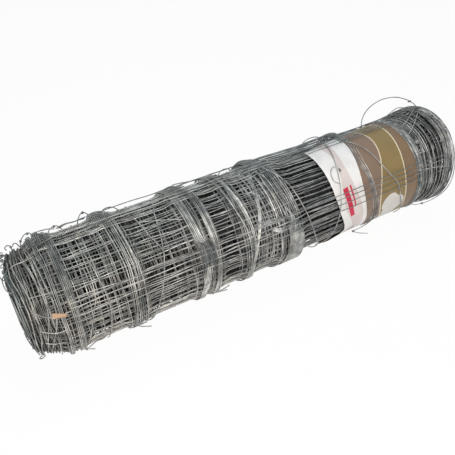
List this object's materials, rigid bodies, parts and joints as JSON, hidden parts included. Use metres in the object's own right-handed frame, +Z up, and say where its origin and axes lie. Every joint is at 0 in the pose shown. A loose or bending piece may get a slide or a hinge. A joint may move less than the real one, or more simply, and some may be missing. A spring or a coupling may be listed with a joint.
{
  "type": "roll of wire fencing",
  "caption": "Rolled-up knotted wire fence lying on its side, with wound hoop bands, an open centre, turns showing on both ends and a paper label wrapped near the far end.",
  "frame": {"origin": "on the floor under the middle of the roll", "axes": "+X along the roll from the near end to the far end where the label is, +Z up, -Y towards the labelled front"},
  "size_m": [1.2, 0.287, 0.2869],
  "materials": {
    "galvanised_wire": "dull galvanised zinc, cool grey",
    "printed_paper": "white sheet with brown and tan print, slightly glossy",
    "tan_card": "matt tan card"
  },
  "bodies": {
    "root": {"fence_roll": "galvanised_wire", "paper_label": "printed_paper", "card_tag": "tan_card"}
  },
  "joints": []
}
